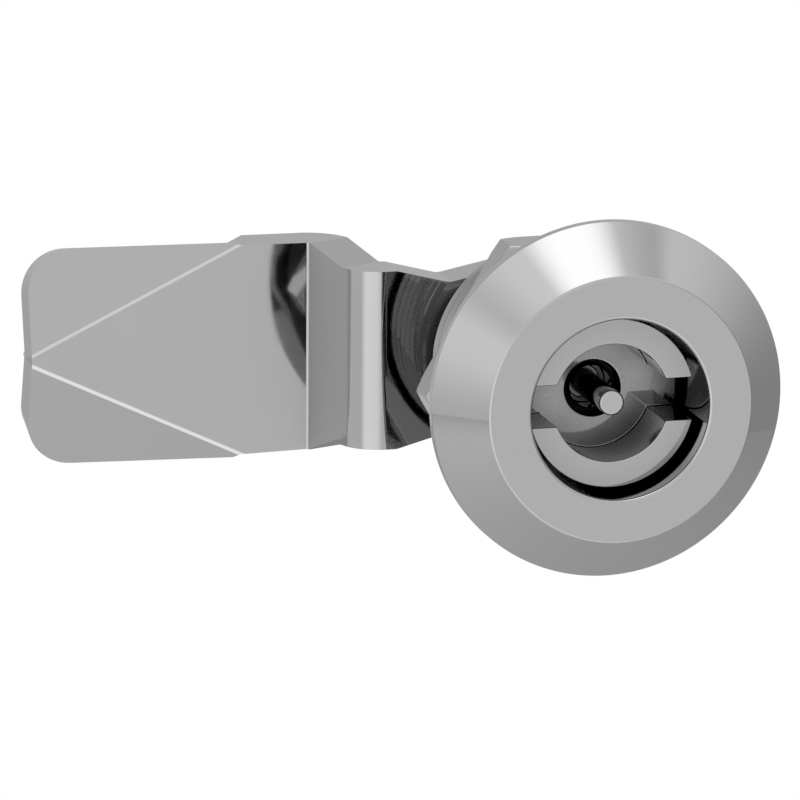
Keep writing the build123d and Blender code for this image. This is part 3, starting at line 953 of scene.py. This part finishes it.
def wall_material():
    """Glow of the studio's walls by direction: bright ceiling, lit left wall and darker right one."""
    material = bpy.data.materials.new("studio_walls")
    material.use_nodes = True
    tree = material.node_tree
    tree.nodes.clear()
    coordinates = tree.nodes.new("ShaderNodeTexCoord")
    unit = tree.nodes.new("ShaderNodeVectorMath")
    unit.operation = "NORMALIZE"
    tree.links.new(coordinates.outputs["Object"], unit.inputs[0])
    direction = unit.outputs["Vector"]
    x, y, z = separate(tree, direction)
    back_glow = eased(tree, z, *BACK_HEIGHTS, *BACK_LEVELS)
    level = toward(tree, back_glow, FRONT_LEVEL, eased(tree, y, *FRONT_FADE))
    left_glow = eased(tree, z, *LEFT_HEIGHTS, *LEFT_LEVELS)
    left_wall = calculate(tree, "MULTIPLY", eased(tree, x, *LEFT_FADE), eased(tree, z, *LEFT_TOP_FADE))
    level = toward(tree, level, left_glow, left_wall)
    right_glow = eased(tree, z, *RIGHT_HEIGHTS, *RIGHT_LEVELS)
    right_wall = calculate(tree, "MULTIPLY", eased(tree, x, *RIGHT_FADE), eased(tree, z, *RIGHT_TOP_FADE))
    level = toward(tree, level, right_glow, right_wall)
    for centre, inner, outer, gain in CEILING_PATCHES:
        patch = lobe(tree, direction, centre, inner, outer)
        level = calculate(tree, "ADD", level, calculate(tree, "MULTIPLY", patch, gain))
    for centre, inner, outer, patch_level in FRONT_PATCHES:
        level = toward(tree, level, patch_level, lobe(tree, direction, centre, inner, outer))
    glow = tree.nodes.new("ShaderNodeEmission")
    tree.links.new(level, glow.inputs["Strength"])
    sink = tree.nodes.new("ShaderNodeOutputMaterial")
    tree.links.new(glow.outputs["Emission"], sink.inputs["Surface"])
    return material


def add_stage(piece):
    """Links an object of the studio."""
    bpy.context.scene.collection.objects.link(piece)
    return piece


class CAMLOCK_OT_stage(bpy.types.Operator):
    """Sets up the pale floor, the studio's soft walls, the white background and the camera"""

    bl_idname = "camlock.stage"
    bl_label = "Studio"

    def execute(self, context):
        scene = context.scene
        studio = scene.cam_lock_studio
        self.lay_floor(studio)
        self.hang_walls(studio)
        self.hang_lamp(studio)
        self.light_background(scene)
        self.set_camera(scene, studio)
        scene.view_settings.view_transform = "Standard"
        return {"FINISHED"}

    def lay_floor(self, studio):
        """Lays the plain floor below the lock."""
        shape = bmesh.new()
        left, right = -studio.floor_left, studio.floor_right
        front, back = -studio.floor_front, studio.floor_back
        corners = ((left, front), (right, front), (right, back), (left, back))
        shape.faces.new([shape.verts.new((x, y, -studio.floor_drop)) for x, y in corners])
        mesh = mesh_from_shape("floor", shape)
        material, tree, shader = start_material("pale_floor")
        shader.inputs["Roughness"].default_value = 0.9
        shader.inputs["Specular IOR Level"].default_value = 0.1
        tint(tree, shader, studio.floor_colour, surface_noise(tree, 6.0, 2.0), 0.99, 1.01)
        mesh.materials.append(material)
        add_stage(bpy.data.objects.new("floor", mesh))

    def hang_walls(self, studio):
        """Puts the glowing walls round the studio, seen only in the mirror of the steel."""
        shape = bmesh.new()
        bmesh.ops.create_icosphere(shape, subdivisions=5, radius=studio.wall_distance)
        bmesh.ops.reverse_faces(shape, faces=shape.faces)
        mesh = mesh_from_shape("studio_walls", shape)
        mesh.shade_smooth()
        mesh.materials.append(wall_material())
        walls = add_stage(bpy.data.objects.new("studio_walls", mesh))
        walls.visible_camera = False
        walls.visible_shadow = False

    def hang_lamp(self, studio):
        """Hangs the soft lamp at the front left."""
        light = bpy.data.lights.new("soft_lamp", "AREA")
        light.shape = "DISK"
        light.size = studio.lamp_size
        light.energy = studio.lamp_power
        lamp = add_stage(bpy.data.objects.new("soft_lamp", light))
        lamp.location = (LAMP_X, LAMP_Y, LAMP_HEIGHT - studio.floor_drop)
        lamp.visible_camera = False
        lamp.visible_glossy = False

    def light_background(self, scene):
        """Makes the background white."""
        world = bpy.data.worlds.new("white_background")
        world.use_nodes = True
        background = world.node_tree.nodes["Background"]
        background.inputs["Color"].default_value = (1, 1, 1, 1)
        background.inputs["Strength"].default_value = 1.0
        scene.world = world

    def set_camera(self, scene, studio):
        """Sets the long-lens camera that gives the photo's parallel view."""
        right = Vector((math.cos(studio.azimuth), -math.sin(studio.azimuth), 0))
        ahead = Vector(
            (
                math.sin(studio.azimuth) * math.cos(studio.elevation),
                math.cos(studio.azimuth) * math.cos(studio.elevation),
                -math.sin(studio.elevation),
            )
        )
        up = right.cross(ahead)
        face_centre = Vector((0, HOUSING_LOW.y, 0))
        target = face_centre - right * AIM_LEFT_MM * MM + up * AIM_UP_MM * MM
        target += ahead * (Vector(LOCK_MIDDLE) - target).dot(ahead)
        camera = bpy.data.objects.new("camera", bpy.data.cameras.new("camera"))
        scene.collection.objects.link(camera)
        camera.data.lens = studio.lens
        half = math.atan(camera.data.sensor_width / 2 / studio.lens)
        distance = studio.frame_width / 2 / math.tan(half)
        basis = Matrix((right, up, -ahead)).transposed().to_4x4()
        place = Matrix.Translation(target - ahead * distance)
        camera.matrix_world = place @ basis @ Matrix.Rotation(studio.roll, 4, "Z")
        camera.data.clip_start = distance / 2
        camera.data.clip_end = distance * 3
        scene.camera = camera


PIECES = (
    CAMLOCK_OT_housing,
    CAMLOCK_OT_driver,
    CAMLOCK_OT_cam,
    CAMLOCK_OT_fasteners,
    CAMLOCK_OT_toothed_washer,
    CAMLOCK_OT_seals,
    CAMLOCK_OT_stage,
)


class CAMLOCK_PT_pieces(bpy.types.Panel):
    """Lists the lock's pieces and sizes"""

    bl_idname = "CAMLOCK_PT_pieces"
    bl_label = "Cam lock"
    bl_space_type = "VIEW_3D"
    bl_region_type = "UI"
    bl_category = "Cam lock"

    def draw(self, context):
        layout = self.layout
        for operator in PIECES:
            layout.operator(operator.bl_idname)
        for attribute, group in SETTINGS:
            box = layout.box()
            box.label(text=group.__doc__)
            settings = getattr(context.scene, attribute)
            for name in group.__annotations__:
                box.prop(settings, name)


def register():
    """Registers the settings, operators and panel."""
    for attribute, group in SETTINGS:
        bpy.utils.register_class(group)
        setattr(bpy.types.Scene, attribute, PointerProperty(type=group))
    for operator in PIECES:
        bpy.utils.register_class(operator)
    bpy.utils.register_class(CAMLOCK_PT_pieces)


def unregister():
    """Takes the settings, operators and panel out again."""
    bpy.utils.unregister_class(CAMLOCK_PT_pieces)
    for operator in reversed(PIECES):
        bpy.utils.unregister_class(operator)
    for attribute, group in reversed(SETTINGS):
        delattr(bpy.types.Scene, attribute)
        bpy.utils.unregister_class(group)


def main():
    register()
    bpy.ops.camlock.housing()
    bpy.ops.camlock.driver()
    bpy.ops.camlock.cam()
    bpy.ops.camlock.fasteners()
    bpy.ops.camlock.toothed_washer()
    bpy.ops.camlock.seals()
    bpy.ops.camlock.stage()


if __name__ == "__main__":
    main()
